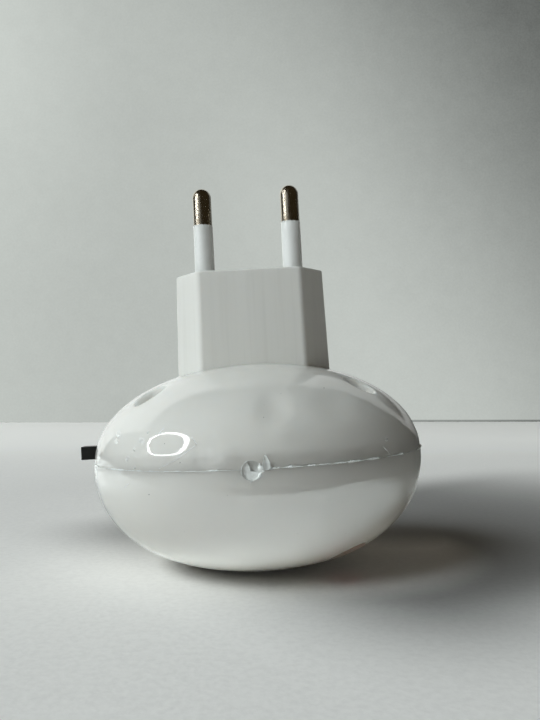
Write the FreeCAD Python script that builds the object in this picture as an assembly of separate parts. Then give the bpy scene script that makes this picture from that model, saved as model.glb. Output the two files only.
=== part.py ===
"""Plug-in night light: a two-pin mains plug body on a glossy two-shell dome, with a slide switch.

It stands on the small flat of its front dome with the pins upwards, as it lies on a table.
Millimetres. +Z runs from the front dome to the pins, X along the line of the two pins, and the
switch is on the -X side. The origin is the middle of the flat that the light stands on.
"""

import FreeCAD
import Part
import math
import os

Vector = FreeCAD.Vector
up = Vector(0, 0, 1)

# Case: two domes that meet on a flat parting plane
dome_radius = 34.0
front_depth = 23.0
rear_height = 19.0
front_roundness = 2.3  # exponent of the dome curve; 2 is an ellipse
rear_roundness = 2.05
case_wall = 2.0
rim_step = 0.15  # the rear rim stands this far inside the front rim
rest_flat_depth = 0.4  # cut off the front dome's pole

# Lip joint: a tongue on the front shell stands in a rebate of the rear shell
tongue_wall = 0.85
tongue_height = 2.0
lip_gap = 0.1

# Port: a round blind hole in the rims, half in each shell, closed inside by a pad of the front shell
port_radius = 1.68
port_drop = 0.15
port_offset = -1.1  # along X, from the middle between the pins
port_depth = 2.4
port_floor = 1.2
port_wall = 1.2

# Plug body: a six-sided block with a little draft, held by a flange inside the rear shell
plug_rise = 38.4  # parting plane to the plug's end face
plug_width = 32.2
plug_face_width = 21.3
plug_thickness = 13.7
plug_draft_angle = 1.07
plug_edge_radius = 1.4
plug_end_radius = 0.5
plug_wall = 1.8
nose_thickness = 10.0
flange_rise = 9.4  # parting plane to the flange's underside
flange_thickness = 1.8
collar_wall = 1.6
plug_fit = 0.05

# Pins and their insulating sleeves
pin_pitch = 19.0
pin_radius = 2.0
pin_length = 19.0
pin_neck_radius = 1.5
sleeve_length = 10.8
sleeve_root_radius = 2.15
sleeve_end_radius = 2.07
sleeve_depth = 3.0  # how far a sleeve runs into the plug body
pin_fit = 0.03
pin_collar_radius = 2.9
pin_collar_height = 1.5
tail_radius = 1.2
tail_length = 5.0
solder_cup_depth = 2.0

# Keeper: a plate that backs the pins' collars, and its screw
keeper_thickness = 1.6
keeper_gap = 0.25
keeper_post_radius = 2.4
small_screw_radius = 1.1
small_head_radius = 2.0
small_head_height = 1.2
small_screw_length = 6.0
screw_fit = 0.03

# Flange screws, one on each broad side of the plug body
flange_ear_radius = 3.2
flange_boss_radius = 2.7
ear_offset = 3.6  # from the plug body's side to the screw

# Case screws: three deep wells in the rear shell, over bosses of the front shell
case_screw_inset = 9.8  # dome radius to a screw's axis
case_screw_turn = 33.0  # the two wells on the port's side, from the line of the pins
well_radius = 3.0
well_wall = 1.0
well_edge_radius = 0.3
seat_rise = 4.6  # parting plane to the face that a screw's head sits on
seat_thickness = 1.6
case_screw_radius = 1.45
case_screw_length = 11.0
case_head_radius = 2.7
case_head_height = 1.9
spigot_radius = 2.9
spigot_gap = 0.15
boss_radius = 4.4
cross_slot_width = 0.7
cross_slot_margin = 0.9  # the head's edge to the end of the slot

# Circuit board
board_gap = 2.8  # the case's inner wall to the board's edge
board_thickness = 1.6
board_drop = 0.35  # the board's upper face lies this far under the parting plane
board_port_cut = 24.0  # the board ends here on the port's side
hole_gap = 0.1

# Slide switch on the board's edge
switch_length = 10.0
switch_depth = 4.4
switch_height = 4.4
switch_skin = 0.3
switch_overhang = 0.2  # the switch's front face beyond the board's edge
switch_base_thickness = 1.0
lever_width = 3.0
lever_height = 2.7
lever_proud = 3.0  # beyond the dome
switch_travel = 2.5
lever_edge_radius = 0.15
slot_gap = 0.3
slider_length = 5.4
slider_depth = 1.9
contact_thickness = 0.25
contact_gap = 0.1
terminal_pitch = 2.5
terminal_width = 0.8
terminal_thickness = 0.4
grip_groove_depth = 0.3
grip_groove_width = 0.4

# Light-emitting diodes under the board
led_radius = 2.5
led_rim_radius = 2.9
led_rim_height = 1.0
led_length = 8.6
led_lead_pitch = 2.54
led_front_place = (10.5, -7.0)  # the left side mirrors both places
led_back_place = (9.0, 10.0)

# Parts on top of the board
lead_radius = 0.3
lead_tail = 1.5  # how far a lead stands out past the board
bend_radius = 0.8
film_capacitor_size = (13.0, 6.0, 7.0)
film_capacitor_gap = 1.05  # to the bleed resistor behind it
film_lead_pitch = 10.0
round_capacitor_radius = 3.15
round_capacitor_height = 7.5
round_capacitor_place = (15.5, 6.5)
bead_height = 1.5
bead_depth = 0.3
can_bevel = 0.4
round_lead_pitch = 2.5
part_edge_radius = 0.6
fuse_resistor_size = (1.7, 9.0)  # radius, length
fuse_resistor_place = (-14.5, 14.0)
bleed_resistor_size = (1.15, 6.3)
bleed_resistor_gap = 1.75  # to the tower of the back screw's well
diode_size = (1.3, 5.0)
diode_pitch = 4.2
diode_row_y = -14.5
diode_count = 4
body_lift = 0.3  # the board to the underside of a lying part
end_bevel = 0.4
end_cap_share = 0.22
waist_depth = 0.15
solder_radius = 0.7
solder_height = 0.9
solder_tip_radius = 0.2
solder_gap = 0.03

# Wires from the pins to the board
wire_radius = 0.8
core_radius = 0.45
bare_end = 1.5
wire_bow = (1.6, 1.7)  # a wire's widest swing inwards and backwards on its way to the board
wire_return = (0.6, 0.6)
wire_pad_place = (12.5, -1.5)  # the neutral side mirrors it

# Levels worked out from the sizes above
parting_z = front_depth - rest_flat_depth
rear_radius = dome_radius - rim_step
cavity_radius = dome_radius - case_wall
plug_end_z = parting_z + plug_rise
nose_under_z = plug_end_z - nose_thickness
flange_under_z = parting_z + flange_rise
flange_top_z = flange_under_z + flange_thickness
collar_under_z = nose_under_z - pin_collar_height
keeper_under_z = collar_under_z - keeper_thickness
tail_end_z = collar_under_z - tail_length
seat_z = parting_z + seat_rise
case_screw_circle = dome_radius - case_screw_inset
board_top_z = parting_z - board_drop
board_under_z = board_top_z - board_thickness
lever_z = board_top_z + switch_height / 2
board_radius = cavity_radius - board_gap
switch_front_x = -(board_radius + switch_overhang)
terminal_reach = math.hypot(terminal_width, terminal_thickness) / 2
rest_y = -switch_travel / 2  # the lever's middle at rest, at the port's end of its travel
plug_slope = math.tan(math.radians(plug_draft_angle))
flange_screw_y = plug_thickness / 2 + plug_slope * (plug_rise - flange_rise) + ear_offset
case_screw_angles = [90.0, 180.0 + case_screw_turn, 360.0 - case_screw_turn]
case_screw_places = [
    Vector(case_screw_circle * math.cos(math.radians(a)), case_screw_circle * math.sin(math.radians(a)), 0)
    for a in case_screw_angles
]
bleed_resistor_place = (
    0.0, case_screw_circle - well_radius - well_wall - bleed_resistor_gap - bleed_resistor_size[0],
)
film_capacitor_place = (
    0.0, bleed_resistor_place[1] - bleed_resistor_size[0] - film_capacitor_gap - film_capacitor_size[1] / 2,
)
led_places = [(side * x, y) for x, y in (led_front_place, led_back_place) for side in (-1, 1)]
pin_places = {"left": Vector(-pin_pitch / 2, 0, 0), "right": Vector(pin_pitch / 2, 0, 0)}


# Basic solids

def cylinder(radius, low, high, place=Vector(0, 0, 0)):
    """Upright cylinder from height low to height high."""
    return Part.makeCylinder(radius, high - low, Vector(place.x, place.y, low))


def box(low, high):
    """Box between two corners."""
    return Part.makeBox(high[0] - low[0], high[1] - low[1], high[2] - low[2], Vector(*low))


def turned(outline, place=Vector(0, 0, 0)):
    """Solid turned round Z from a closed outline of (radius, height) points."""
    points = [Vector(r, 0, z) for r, z in outline]
    face = Part.Face(Part.makePolygon(points + points[:1]))
    solid = face.revolve(Vector(0, 0, 0), up, 360)
    solid.translate(place)
    return solid


def one(solid):
    """The single solid of a result, with seams between like faces removed."""
    clean = solid.removeSplitter()
    return clean.Solids[0] if len(clean.Solids) == 1 else clean


def save(node, *solids):
    """Writes one node: a solid, or several that stay separate."""
    shape = solids[0] if len(solids) == 1 else Part.Compound(list(solids))
    shape.exportStep(os.path.join("parts", node + ".step"))


# Domes

def dome(radius, height, roundness, direction):
    """Solid half dome on the parting plane; direction is 1 upwards and -1 downwards."""
    steps = 10
    points = []
    for i in range(steps + 1):
        angle = math.pi / 2 * i / steps
        r = radius * math.sin(angle) ** (2 / roundness)
        z = height * math.cos(angle) ** (2 / roundness)
        points.append(Vector(r, 0, parting_z + direction * z))
    curve = Part.BSplineCurve()
    curve.interpolate(Points=points, InitialTangent=Vector(1, 0, 0), FinalTangent=Vector(0, 0, -direction))
    centre = Vector(0, 0, parting_z)
    outline = Part.Wire([
        curve.toShape(),
        Part.makeLine(points[-1], centre),
        Part.makeLine(centre, points[0]),
    ])
    return Part.Face(outline).revolve(Vector(0, 0, 0), up, 360)


def port_hole():
    """The round blind hole in the rims on the -Y side."""
    mouth = Vector(port_offset, -dome_radius - 1, parting_z - port_drop)
    return Part.makeCylinder(port_radius, port_depth + 1, mouth, Vector(0, 1, 0))


def port_pad():
    """The thick place behind the port, as high as the tongue."""
    rim = Vector(port_offset, -dome_radius, parting_z - port_drop)
    pad = Part.makeCylinder(port_radius + port_wall, port_depth + port_floor, rim, Vector(0, 1, 0))
    return pad.common(cylinder(cavity_radius + tongue_wall / 2, 0, parting_z + tongue_height))


def switch_slot(top):
    """The opening for the lever in a rim, from the parting plane up to a height."""
    half = (lever_width + switch_travel) / 2 + slot_gap
    return box((-dome_radius - 1, -half, parting_z), (switch_front_x - slot_gap, half, top))


# Plug body

def hexagon(z, grow):
    """Six-sided outline at a height, with every side moved out by grow from the plug's end face."""
    run = (plug_width - plug_face_width) / 2
    half = plug_thickness / 2
    edge = math.hypot(run, half)
    slant_x = half / edge
    slant_y = run / edge
    corner = plug_width / 2 + grow / slant_x
    side = half + grow
    flat = corner - side * slant_y / slant_x
    points = [(corner, 0), (flat, side), (-flat, side), (-corner, 0), (-flat, -side), (flat, -side)]
    vectors = [Vector(x, y, z) for x, y in points]
    return Part.makePolygon(vectors + vectors[:1])


def drafted_block(low, high, grow, edge_radius):
    """Block between two heights that follows the plug's draft, with its upright edges rounded."""
    ends = [hexagon(z, grow + plug_slope * (plug_end_z - z)) for z in (low, high)]
    block = Part.makeLoft(ends, True, True)
    if edge_radius <= 0:
        return block
    upright = [e for e in block.Edges if abs(e.Vertexes[0].Z - e.Vertexes[1].Z) > 1]
    return block.makeFillet(edge_radius, upright)


def make_plug_body():
    """Plug body with its flange, ears, keeper post, pin bores and screw holes."""
    body = drafted_block(flange_under_z, plug_end_z, 0, plug_edge_radius)
    rim = [e for e in body.Edges if e.BoundBox.ZMin > plug_end_z - 0.01]
    body = body.makeFillet(plug_end_radius, rim)
    flange_grow = plug_fit + collar_wall + plug_slope * (plug_end_z - flange_top_z)
    flange = Part.Face(hexagon(flange_under_z, flange_grow)).extrude(up * flange_thickness)
    for side in (-1, 1):
        spot = Vector(0, side * flange_screw_y, 0)
        ear = cylinder(flange_ear_radius, flange_under_z, flange_top_z, spot)
        reach = sorted((0, side * flange_screw_y))
        neck = box((-flange_ear_radius, reach[0], flange_under_z), (flange_ear_radius, reach[1], flange_top_z))
        flange = flange.fuse([ear, neck])
    body = body.fuse(flange)
    cavity = drafted_block(flange_under_z - 1, nose_under_z, -plug_wall, plug_edge_radius / 2)
    body = body.cut(cavity)
    post = cylinder(keeper_post_radius, collar_under_z, nose_under_z)
    body = body.fuse(post)
    thread_top = keeper_under_z + small_screw_length
    cuts = [cylinder(small_screw_radius + screw_fit, collar_under_z - 1, thread_top + screw_fit)]
    for spot in pin_places.values():
        cuts.append(cylinder(sleeve_root_radius + pin_fit, nose_under_z - 1, plug_end_z + 1, spot))
    for side in (-1, 1):
        spot = Vector(0, side * flange_screw_y, 0)
        cuts.append(cylinder(small_screw_radius + screw_fit, flange_under_z - 1, flange_top_z + 1, spot))
    return one(body.cut(cuts))


def make_keeper():
    """Plate in the plug body's hollow, under the pins' collars."""
    plate = drafted_block(keeper_under_z, collar_under_z, -plug_wall - keeper_gap, 0)
    cuts = [cylinder(small_screw_radius + screw_fit, keeper_under_z - 1, collar_under_z + 1)]
    for spot in pin_places.values():
        cuts.append(cylinder(tail_radius + pin_fit, keeper_under_z - 1, collar_under_z + 1, spot))
    return one(plate.cut(cuts))


def make_pin(place):
    """Round pin with a domed tip, a neck for its sleeve, a root, a collar and a solder cup."""
    tip_z = plug_end_z + pin_length
    sleeve_end_z = plug_end_z + sleeve_length
    root_top_z = plug_end_z - sleeve_depth
    pin = turned([
        (0, tip_z - pin_radius),
        (pin_radius, tip_z - pin_radius),
        (pin_radius, sleeve_end_z),
        (pin_neck_radius, sleeve_end_z),
        (pin_neck_radius, root_top_z),
        (sleeve_root_radius, root_top_z),
        (sleeve_root_radius, nose_under_z),
        (pin_collar_radius, nose_under_z),
        (pin_collar_radius, collar_under_z),
        (tail_radius, collar_under_z),
        (tail_radius, tail_end_z),
        (0, tail_end_z),
    ])
    pin = pin.fuse(Part.makeSphere(pin_radius, Vector(0, 0, tip_z - pin_radius)))
    pin = pin.cut(cylinder(core_radius + pin_fit, tail_end_z - 1, tail_end_z + solder_cup_depth))
    pin = one(pin)
    pin.translate(place)
    return pin


def make_sleeve(place):
    """Insulating sleeve round a pin's neck, a little wider at its root."""
    low = plug_end_z - sleeve_depth
    high = plug_end_z + sleeve_length
    bore = pin_neck_radius + pin_fit
    return turned([
        (bore, low),
        (sleeve_root_radius, low),
        (sleeve_root_radius, plug_end_z),
        (sleeve_end_radius, high),
        (bore, high),
    ], place)


# Screws

def make_screw(radius, length, head_radius, head_height, seat, place, direction):
    """Pan-head screw with a cross slot; direction is 1 with the head on top and -1 with it below."""
    bevel = head_height / 4
    screw = turned([
        (0, -length),
        (radius / 2, -length),
        (radius, -length + radius),
        (radius, 0),
        (head_radius, 0),
        (head_radius, head_height - bevel),
        (head_radius - bevel, head_height),
        (0, head_height),
    ])
    arm = head_radius - cross_slot_margin
    half = cross_slot_width / 2
    floor = head_height / 2
    slots = [
        box((-arm, -half, floor), (arm, half, head_height + 1)),
        box((-half, -arm, floor), (half, arm, head_height + 1)),
    ]
    screw = one(screw.cut(slots))
    if direction < 0:
        screw.rotate(Vector(0, 0, 0), Vector(1, 0, 0), 180)
    screw.translate(Vector(place.x, place.y, seat))
    return screw


# Shells

def make_rear_shell():
    """Glossy rear dome with the plug's opening and collar, three screw wells and the rebate."""
    outside = dome(rear_radius, rear_height, rear_roundness, 1)
    inside = dome(cavity_radius, rear_height - case_wall, rear_roundness, 1)
    shell = outside.cut(inside)
    high = parting_z + rear_height + 1
    towers = [drafted_block(flange_top_z, high, plug_fit + collar_wall, 0)]
    for side in (-1, 1):
        towers.append(cylinder(flange_boss_radius, flange_top_z, high, Vector(0, side * flange_screw_y, 0)))
    for place in case_screw_places:
        towers.append(cylinder(well_radius + well_wall, board_top_z, high, place))
    for tower in towers:
        above = tower.common(outside)
        skirt = tower.common(box((-dome_radius, -dome_radius, 0), (dome_radius, dome_radius, parting_z)))
        shell = shell.fuse(above)
        if skirt.Volume > 0.001:
            shell = shell.fuse(skirt)
    for place in case_screw_places:
        shell = shell.cut(cylinder(well_radius, seat_z, high, place))
    mouths = [
        e for e in shell.Edges
        if e.BoundBox.ZMin > seat_z + 1 and any(round_mouth(e, place) for place in case_screw_places)
    ]
    shell = shell.makeFillet(well_edge_radius, mouths)
    cuts = [
        drafted_block(flange_top_z - 1, high, plug_fit, plug_edge_radius + plug_fit),
        cylinder(cavity_radius + tongue_wall + lip_gap, parting_z, parting_z + tongue_height + lip_gap).cut(
            cylinder(cavity_radius - case_wall, parting_z, parting_z + tongue_height + lip_gap)
        ),
        port_hole(),
        switch_slot(lever_z + lever_height / 2 + slot_gap),
    ]
    for place in case_screw_places:
        cuts.append(cylinder(spigot_radius + spigot_gap, board_top_z - 1, seat_z - seat_thickness, place))
        cuts.append(cylinder(case_screw_radius + spigot_gap, board_top_z, seat_z + 1, place))
    for side in (-1, 1):
        spot = Vector(0, side * flange_screw_y, 0)
        thread_top = flange_under_z + small_screw_length
        cuts.append(cylinder(small_screw_radius + screw_fit, flange_top_z - 1, thread_top + screw_fit, spot))
    return one(shell.cut(cuts))


def round_mouth(edge, place):
    """Whether an edge is the mouth of the screw well at a place."""
    middle = edge.BoundBox.Center
    near = math.hypot(middle.x - place.x, middle.y - place.y) < well_radius / 2
    return near and edge.BoundBox.XLength > well_radius


def make_front_shell():
    """Translucent front dome with its tongue, resting flat and three screw bosses."""
    outside = dome(dome_radius, front_depth, front_roundness, -1)
    outside = outside.common(box((-dome_radius - 1, -dome_radius - 1, 0), (dome_radius + 1, dome_radius + 1, parting_z)))
    inside = dome(cavity_radius, front_depth - case_wall, front_roundness, -1)
    shell = outside.cut(inside)
    tongue_top = parting_z + tongue_height
    tongue = cylinder(cavity_radius + tongue_wall, parting_z, tongue_top).cut(
        cylinder(cavity_radius, parting_z, tongue_top)
    )
    shell = shell.fuse([tongue, port_pad()])
    for place in case_screw_places:
        boss = cylinder(boss_radius, 0, board_under_z, place).common(outside)
        spigot_top = seat_z - seat_thickness - spigot_gap
        spigot = cylinder(spigot_radius, board_under_z, spigot_top, place)
        shell = shell.fuse([boss, spigot])
    cuts = [port_hole(), switch_slot(tongue_top + 1)]
    screw_end = seat_z - case_screw_length
    for place in case_screw_places:
        cuts.append(cylinder(case_screw_radius + screw_fit, screw_end - 1, seat_z, place))
    return one(shell.cut(cuts))


# Circuit board and what stands on it

def board_holes():
    """Places and radii of the holes that the leads, terminals and wires go through."""
    holes = [(x, y, lead_radius + hole_gap) for x, y in lead_places()]
    holes += [(x, y, lead_radius + hole_gap) for x, y in led_lead_places()]
    holes += [(x, y, terminal_reach + hole_gap) for x, y in terminal_places()]
    holes += [(x, y, core_radius + hole_gap) for x, y in wire_pads()]
    return holes


def make_board():
    """Round board with a straight side behind the port, spigot holes and lead holes."""
    board = cylinder(board_radius, board_under_z, board_top_z)
    board = board.common(
        box((-board_radius, -board_port_cut, board_under_z), (board_radius, board_radius, board_top_z))
    )
    cuts = [
        cylinder(spigot_radius + spigot_gap, board_under_z - 1, board_top_z + 1, place)
        for place in case_screw_places
    ]
    for x, y, radius in board_holes():
        cuts.append(cylinder(radius, board_under_z - 1, board_top_z + 1, Vector(x, y, 0)))
    return one(board.cut(cuts))


def axial_parts():
    """Lying parts by name: centre, direction of the body, radius and length."""
    along_x = Vector(1, 0, 0)
    along_y = Vector(0, 1, 0)
    parts = {
        "fuse_resistor": (fuse_resistor_place, along_x, *fuse_resistor_size),
        "bleed_resistor": (bleed_resistor_place, along_x, *bleed_resistor_size),
    }
    for i in range(diode_count):
        x = diode_pitch * (i - (diode_count - 1) / 2)
        parts["diode_%d" % (i + 1)] = ((x, diode_row_y), along_y, *diode_size)
    return parts


def bend_reach(length):
    """From a lying part's middle to its upright leads."""
    return length / 2 + bend_radius + lead_radius * 2


def lead_places():
    """Where leads of the parts on top of the board go through it."""
    x, y = film_capacitor_place
    places = [(x - film_lead_pitch / 2, y), (x + film_lead_pitch / 2, y)]
    x, y = round_capacitor_place
    places += [(x - round_lead_pitch / 2, y), (x + round_lead_pitch / 2, y)]
    for (x, y), along, _, length in axial_parts().values():
        for side in (-1, 1):
            reach = side * bend_reach(length)
            places.append((x + reach * along.x, y + reach * along.y))
    return places


def led_lead_places():
    """Where the leads of the light-emitting diodes go through the board."""
    half = led_lead_pitch / 2
    return [(x + side * half, y) for x, y in led_places for side in (-1, 1)]


def make_axial_body(place, along, radius, length):
    """Lying part with a swollen cap at each end."""
    cap = length * end_cap_share
    waist = radius - waist_depth
    half = length / 2
    body = turned([
        (0, -half),
        (radius - end_bevel, -half),
        (radius, -half + end_bevel),
        (radius, -half + cap),
        (waist, -half + cap + end_bevel),
        (waist, half - cap - end_bevel),
        (radius, half - cap),
        (radius, half - end_bevel),
        (radius - end_bevel, half),
        (0, half),
    ])
    axis = Vector(0, 1, 0) if along.x else Vector(-1, 0, 0)
    body.rotate(Vector(0, 0, 0), axis, 90)
    body.translate(Vector(place[0], place[1], board_top_z + body_lift + radius))
    return body


def bent_lead(place, along, radius, length, side):
    """Lead that leaves a lying part, bends down and goes through the board."""
    height = board_top_z + body_lift + radius
    start = Vector(place[0], place[1], height) + along * (side * length / 2)
    corner = Vector(place[0], place[1], height) + along * (side * bend_reach(length))
    before = corner - along * (side * bend_radius)
    after = corner - up * bend_radius
    centre = before - up * bend_radius
    middle = centre + (along * side + up) * (bend_radius / math.sqrt(2))
    end = Vector(corner.x, corner.y, board_under_z - lead_tail)
    path = Part.Wire([
        Part.makeLine(start, before),
        Part.Arc(before, middle, after).toShape(),
        Part.makeLine(after, end),
    ])
    section = Part.Wire(Part.makeCircle(lead_radius, start, along))
    return path.makePipeShell([section], True, False)


def make_component_leads():
    """Every lead of the parts on top of the board, as separate solids."""
    x, y = film_capacitor_place
    upright = [(x - film_lead_pitch / 2, y), (x + film_lead_pitch / 2, y)]
    x, y = round_capacitor_place
    upright += [(x - round_lead_pitch / 2, y), (x + round_lead_pitch / 2, y)]
    leads = [cylinder(lead_radius, board_under_z - lead_tail, board_top_z, Vector(a, b, 0)) for a, b in upright]
    for place, along, radius, length in axial_parts().values():
        leads += [bent_lead(place, along, radius, length, side) for side in (-1, 1)]
    return leads


def make_film_capacitor():
    """Box-shaped film capacitor."""
    x, y = film_capacitor_place
    length, width, height = film_capacitor_size
    body = box(
        (x - length / 2, y - width / 2, board_top_z),
        (x + length / 2, y + width / 2, board_top_z + height),
    )
    upper = [e for e in body.Edges if e.BoundBox.ZMax > board_top_z + height / 4]
    return body.makeFillet(part_edge_radius, upper)


def make_round_capacitor():
    """Upright electrolytic capacitor with a beaded foot."""
    radius = round_capacitor_radius
    height = round_capacitor_height
    x, y = round_capacitor_place
    return turned([
        (0, board_top_z),
        (radius - can_bevel, board_top_z),
        (radius, board_top_z + can_bevel),
        (radius, board_top_z + bead_height - bead_depth),
        (radius - bead_depth, board_top_z + bead_height),
        (radius, board_top_z + bead_height + bead_depth),
        (radius, board_top_z + height - can_bevel),
        (radius - can_bevel, board_top_z + height),
        (0, board_top_z + height),
    ], Vector(x, y, 0))


def make_led(place):
    """Round light-emitting diode that points down from the board."""
    body = cylinder(led_rim_radius, board_under_z - led_rim_height, board_under_z)
    round_z = board_under_z - led_length + led_radius
    body = body.fuse([
        cylinder(led_radius, round_z, board_under_z),
        Part.makeSphere(led_radius, Vector(0, 0, round_z)),
    ])
    body = one(body)
    body.translate(Vector(place[0], place[1], 0))
    return body


def solder_joint(place, inner_radius, face, side):
    """Cone of solder on one face of the board, round a lead of the given radius."""
    hole = inner_radius + solder_gap
    tip = face + side * solder_height
    return turned([
        (hole, face),
        (hole + solder_radius, face),
        (hole + solder_tip_radius, tip),
        (hole, tip),
    ], Vector(*place, 0))


def make_solder_joints():
    """Solder round every lead: above the board for the diodes that hang under it, else below it."""
    joints = [solder_joint(place, lead_radius, board_under_z, -1) for place in lead_places()]
    joints += [solder_joint(place, lead_radius, board_top_z, 1) for place in led_lead_places()]
    joints += [solder_joint(place, terminal_reach, board_under_z, -1) for place in terminal_places()]
    joints += [solder_joint(place, core_radius, board_under_z, -1) for place in wire_pads()]
    return joints


# Slide switch

def terminal_places():
    """Centres of the switch's three terminals."""
    x = switch_front_x + switch_depth - switch_base_thickness / 2
    return [(x, terminal_pitch * i) for i in (-1, 0, 1)]


def terminal_box(x, y, top):
    """Flat terminal from under the board up to a height."""
    return box(
        (x - terminal_thickness / 2, y - terminal_width / 2, board_under_z - lead_tail),
        (x + terminal_thickness / 2, y + terminal_width / 2, top),
    )


def make_switch_can():
    """Folded steel can, open at the back, with the lever's slot in its front."""
    half = switch_length / 2
    top = board_top_z + switch_height
    back = switch_front_x + switch_depth
    can = box((switch_front_x, -half, board_top_z), (back, half, top))
    hollow = box(
        (switch_front_x + switch_skin, -half + switch_skin, board_top_z + switch_skin),
        (back + 1, half - switch_skin, top - switch_skin),
    )
    reach = (lever_width + switch_travel) / 2 + contact_gap
    slot = box(
        (switch_front_x - 1, -reach, lever_z - lever_height / 2 - contact_gap),
        (switch_front_x + 1, reach, lever_z + lever_height / 2 + contact_gap),
    )
    foot = box(
        (back - switch_base_thickness, -half + switch_skin, board_top_z - 1),
        (back + 1, half - switch_skin, board_top_z + switch_skin),
    )
    return one(can.cut([hollow, slot, foot]))


def make_switch_base():
    """Insulating base that closes the can and carries the terminals."""
    half = switch_length / 2 - switch_skin
    back = switch_front_x + switch_depth
    base = box(
        (back - switch_base_thickness, -half, board_top_z),
        (back, half, board_top_z + switch_height - switch_skin),
    )
    top = lever_z + terminal_width / 2
    slots = []
    for x, y in terminal_places():
        slots.append(terminal_box(x, y, top))
        slots.append(contact_pad(x, y, top))
    return one(base.cut(slots))


def contact_pad(x, y, top):
    """The part of a terminal that shows on the base's inner face."""
    inner = switch_front_x + switch_depth - switch_base_thickness
    return box(
        (inner, y - terminal_width / 2, top - terminal_width),
        (x, y + terminal_width / 2, top),
    )


def make_switch_terminals():
    """Three terminals, each a flat leg with a contact pad."""
    top = lever_z + terminal_width / 2
    return [one(terminal_box(x, y, top).fuse(contact_pad(x, y, top))) for x, y in terminal_places()]


def make_lever():
    """Black lever: a slider block in the can and a square handle that stands out of the case."""
    y = rest_y
    inner = switch_front_x + switch_skin + contact_gap
    tip = -(dome_radius + lever_proud)
    handle = box(
        (tip, y - lever_width / 2, lever_z - lever_height / 2),
        (inner + slider_depth / 2, y + lever_width / 2, lever_z + lever_height / 2),
    )
    ends = [e for e in handle.Edges if e.BoundBox.XMax < tip + 0.01]
    handle = handle.makeFillet(lever_edge_radius, ends)
    half_height = switch_height / 2 - switch_skin - contact_gap
    block = box(
        (inner, y - slider_length / 2, lever_z - half_height),
        (inner + slider_depth, y + slider_length / 2, lever_z + half_height),
    )
    lever = handle.fuse(block)
    for side in (-1, 0, 1):
        middle = y + side * lever_width / 4
        groove = box(
            (tip - 1, middle - grip_groove_width / 2, lever_z - lever_height),
            (tip + grip_groove_depth, middle + grip_groove_width / 2, lever_z + lever_height),
        )
        lever = lever.cut(groove)
    return one(lever)


def make_switch_contact():
    """Bridge strip on the slider that joins two of the three terminals."""
    y = rest_y
    x = switch_front_x + switch_skin + contact_gap + slider_depth
    base_x = switch_front_x + switch_depth - switch_base_thickness
    half = (terminal_pitch + terminal_width) / 2
    strip = box(
        (x, y - half, lever_z - terminal_width / 2),
        (x + contact_thickness, y + half, lever_z + terminal_width / 2),
    )
    for side in (-1, 1):
        middle = y + side * terminal_pitch / 2
        dimple = box(
            (x + contact_thickness, middle - terminal_width / 4, lever_z - terminal_width / 4),
            (base_x - contact_gap, middle + terminal_width / 4, lever_z + terminal_width / 4),
        )
        strip = strip.fuse(dimple)
    return one(strip)


# Wires

def wire_pads():
    """Where the two wires are soldered to the board, the left one first."""
    x, y = wire_pad_place
    return [(-x, y), (x, y)]


def wire_route(side):
    """Points that a wire follows from its pin's solder cup to the board."""
    pin_x = pin_pitch / 2
    pad_x, pad_y = wire_pad_place
    top = tail_end_z - bare_end
    foot = board_top_z + bare_end
    drop = top - foot
    return [
        Vector(side * pin_x, 0, top),
        Vector(side * pin_x, 0, top - drop * 0.22),
        Vector(side * (pin_x - wire_bow[0]), wire_bow[1], top - drop * 0.45),
        Vector(side * (pin_x - wire_return[0]), wire_return[1], top - drop * 0.68),
        Vector(side * pad_x, pad_y, foot + drop * 0.16),
        Vector(side * pad_x, pad_y, foot),
    ]


def rounded_path(points):
    """Straight runs joined by arcs that are as large as the runs beside them allow."""
    edges = []
    here = points[0]
    for i in range(1, len(points) - 1):
        to_last = points[i - 1] - points[i]
        to_next = points[i + 1] - points[i]
        turn = math.pi - to_last.getAngle(to_next)
        trim = 0.45 * min(to_last.Length, to_next.Length)
        radius = trim / math.tan(turn / 2)
        start = points[i] + to_last.normalize() * trim
        end = points[i] + to_next.normalize() * trim
        inward = (to_last + to_next).normalize()
        middle = points[i] + inward * (math.hypot(radius, trim) - radius)
        print("wire bend radius %.1f" % radius)
        edges.append(Part.makeLine(here, start))
        edges.append(Part.Arc(start, middle, end).toShape())
        here = end
    edges.append(Part.makeLine(here, points[-1]))
    return Part.Wire(edges)


def make_wire(side):
    """Insulation of one wire along its route."""
    points = wire_route(side)
    path = rounded_path(points)
    section = Part.Wire(Part.makeCircle(wire_radius, points[0], points[1] - points[0]))
    wire = path.makePipeShell([section], True, False)
    share = wire.Volume / (math.pi * wire_radius ** 2 * path.Length)
    print("wire length %.1f, volume over section times length %.3f" % (path.Length, share))
    return wire


def make_wire_ends():
    """Bare ends of the wires: into the solder cups and through the board."""
    ends = []
    for place in pin_places.values():
        ends.append(cylinder(core_radius, tail_end_z - bare_end, tail_end_z + solder_cup_depth, place))
    for x, y in wire_pads():
        ends.append(cylinder(core_radius, board_under_z - lead_tail, board_top_z + bare_end, Vector(x, y, 0)))
    return ends


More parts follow.
